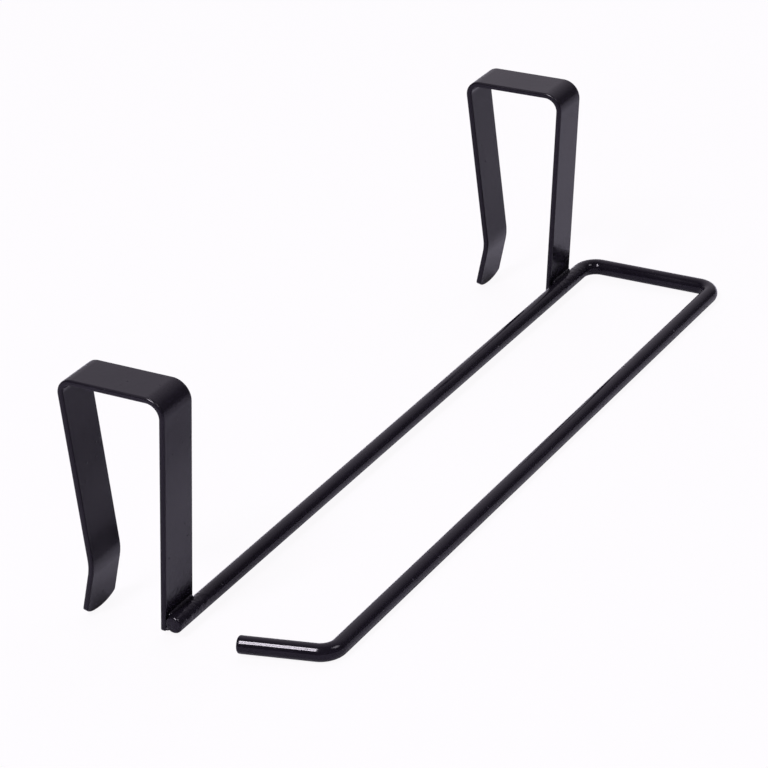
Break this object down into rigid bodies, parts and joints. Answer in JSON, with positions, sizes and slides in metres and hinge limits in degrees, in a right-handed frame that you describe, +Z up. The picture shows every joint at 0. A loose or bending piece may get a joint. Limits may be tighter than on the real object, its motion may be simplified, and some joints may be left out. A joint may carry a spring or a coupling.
{
  "type": "over-cabinet towel bar",
  "caption": "Towel bar that hooks over a cabinet door: bent flat-strip hooks welded to an open loop of round bar, in black powder-coated steel.",
  "frame": {"origin": "half-way between the hooks, in the inside corner where their tops turn down into the front legs: level with the undersides of the tops, at the upper end of the front legs' rear faces", "axes": "+Z up, +X along the bar towards its closed end, -Y out of the door's front face towards the free run of the bar"},
  "size_m": [0.2623, 0.0813, 0.0753],
  "materials": {
    "black_coat": "black powder coat, semi-gloss, over steel"
  },
  "bodies": {
    "root": {"towel_bar": "black_coat", "left_hook": "black_coat", "right_hook": "black_coat", "left_weld": "black_coat", "right_weld": "black_coat"}
  },
  "joints": []
}
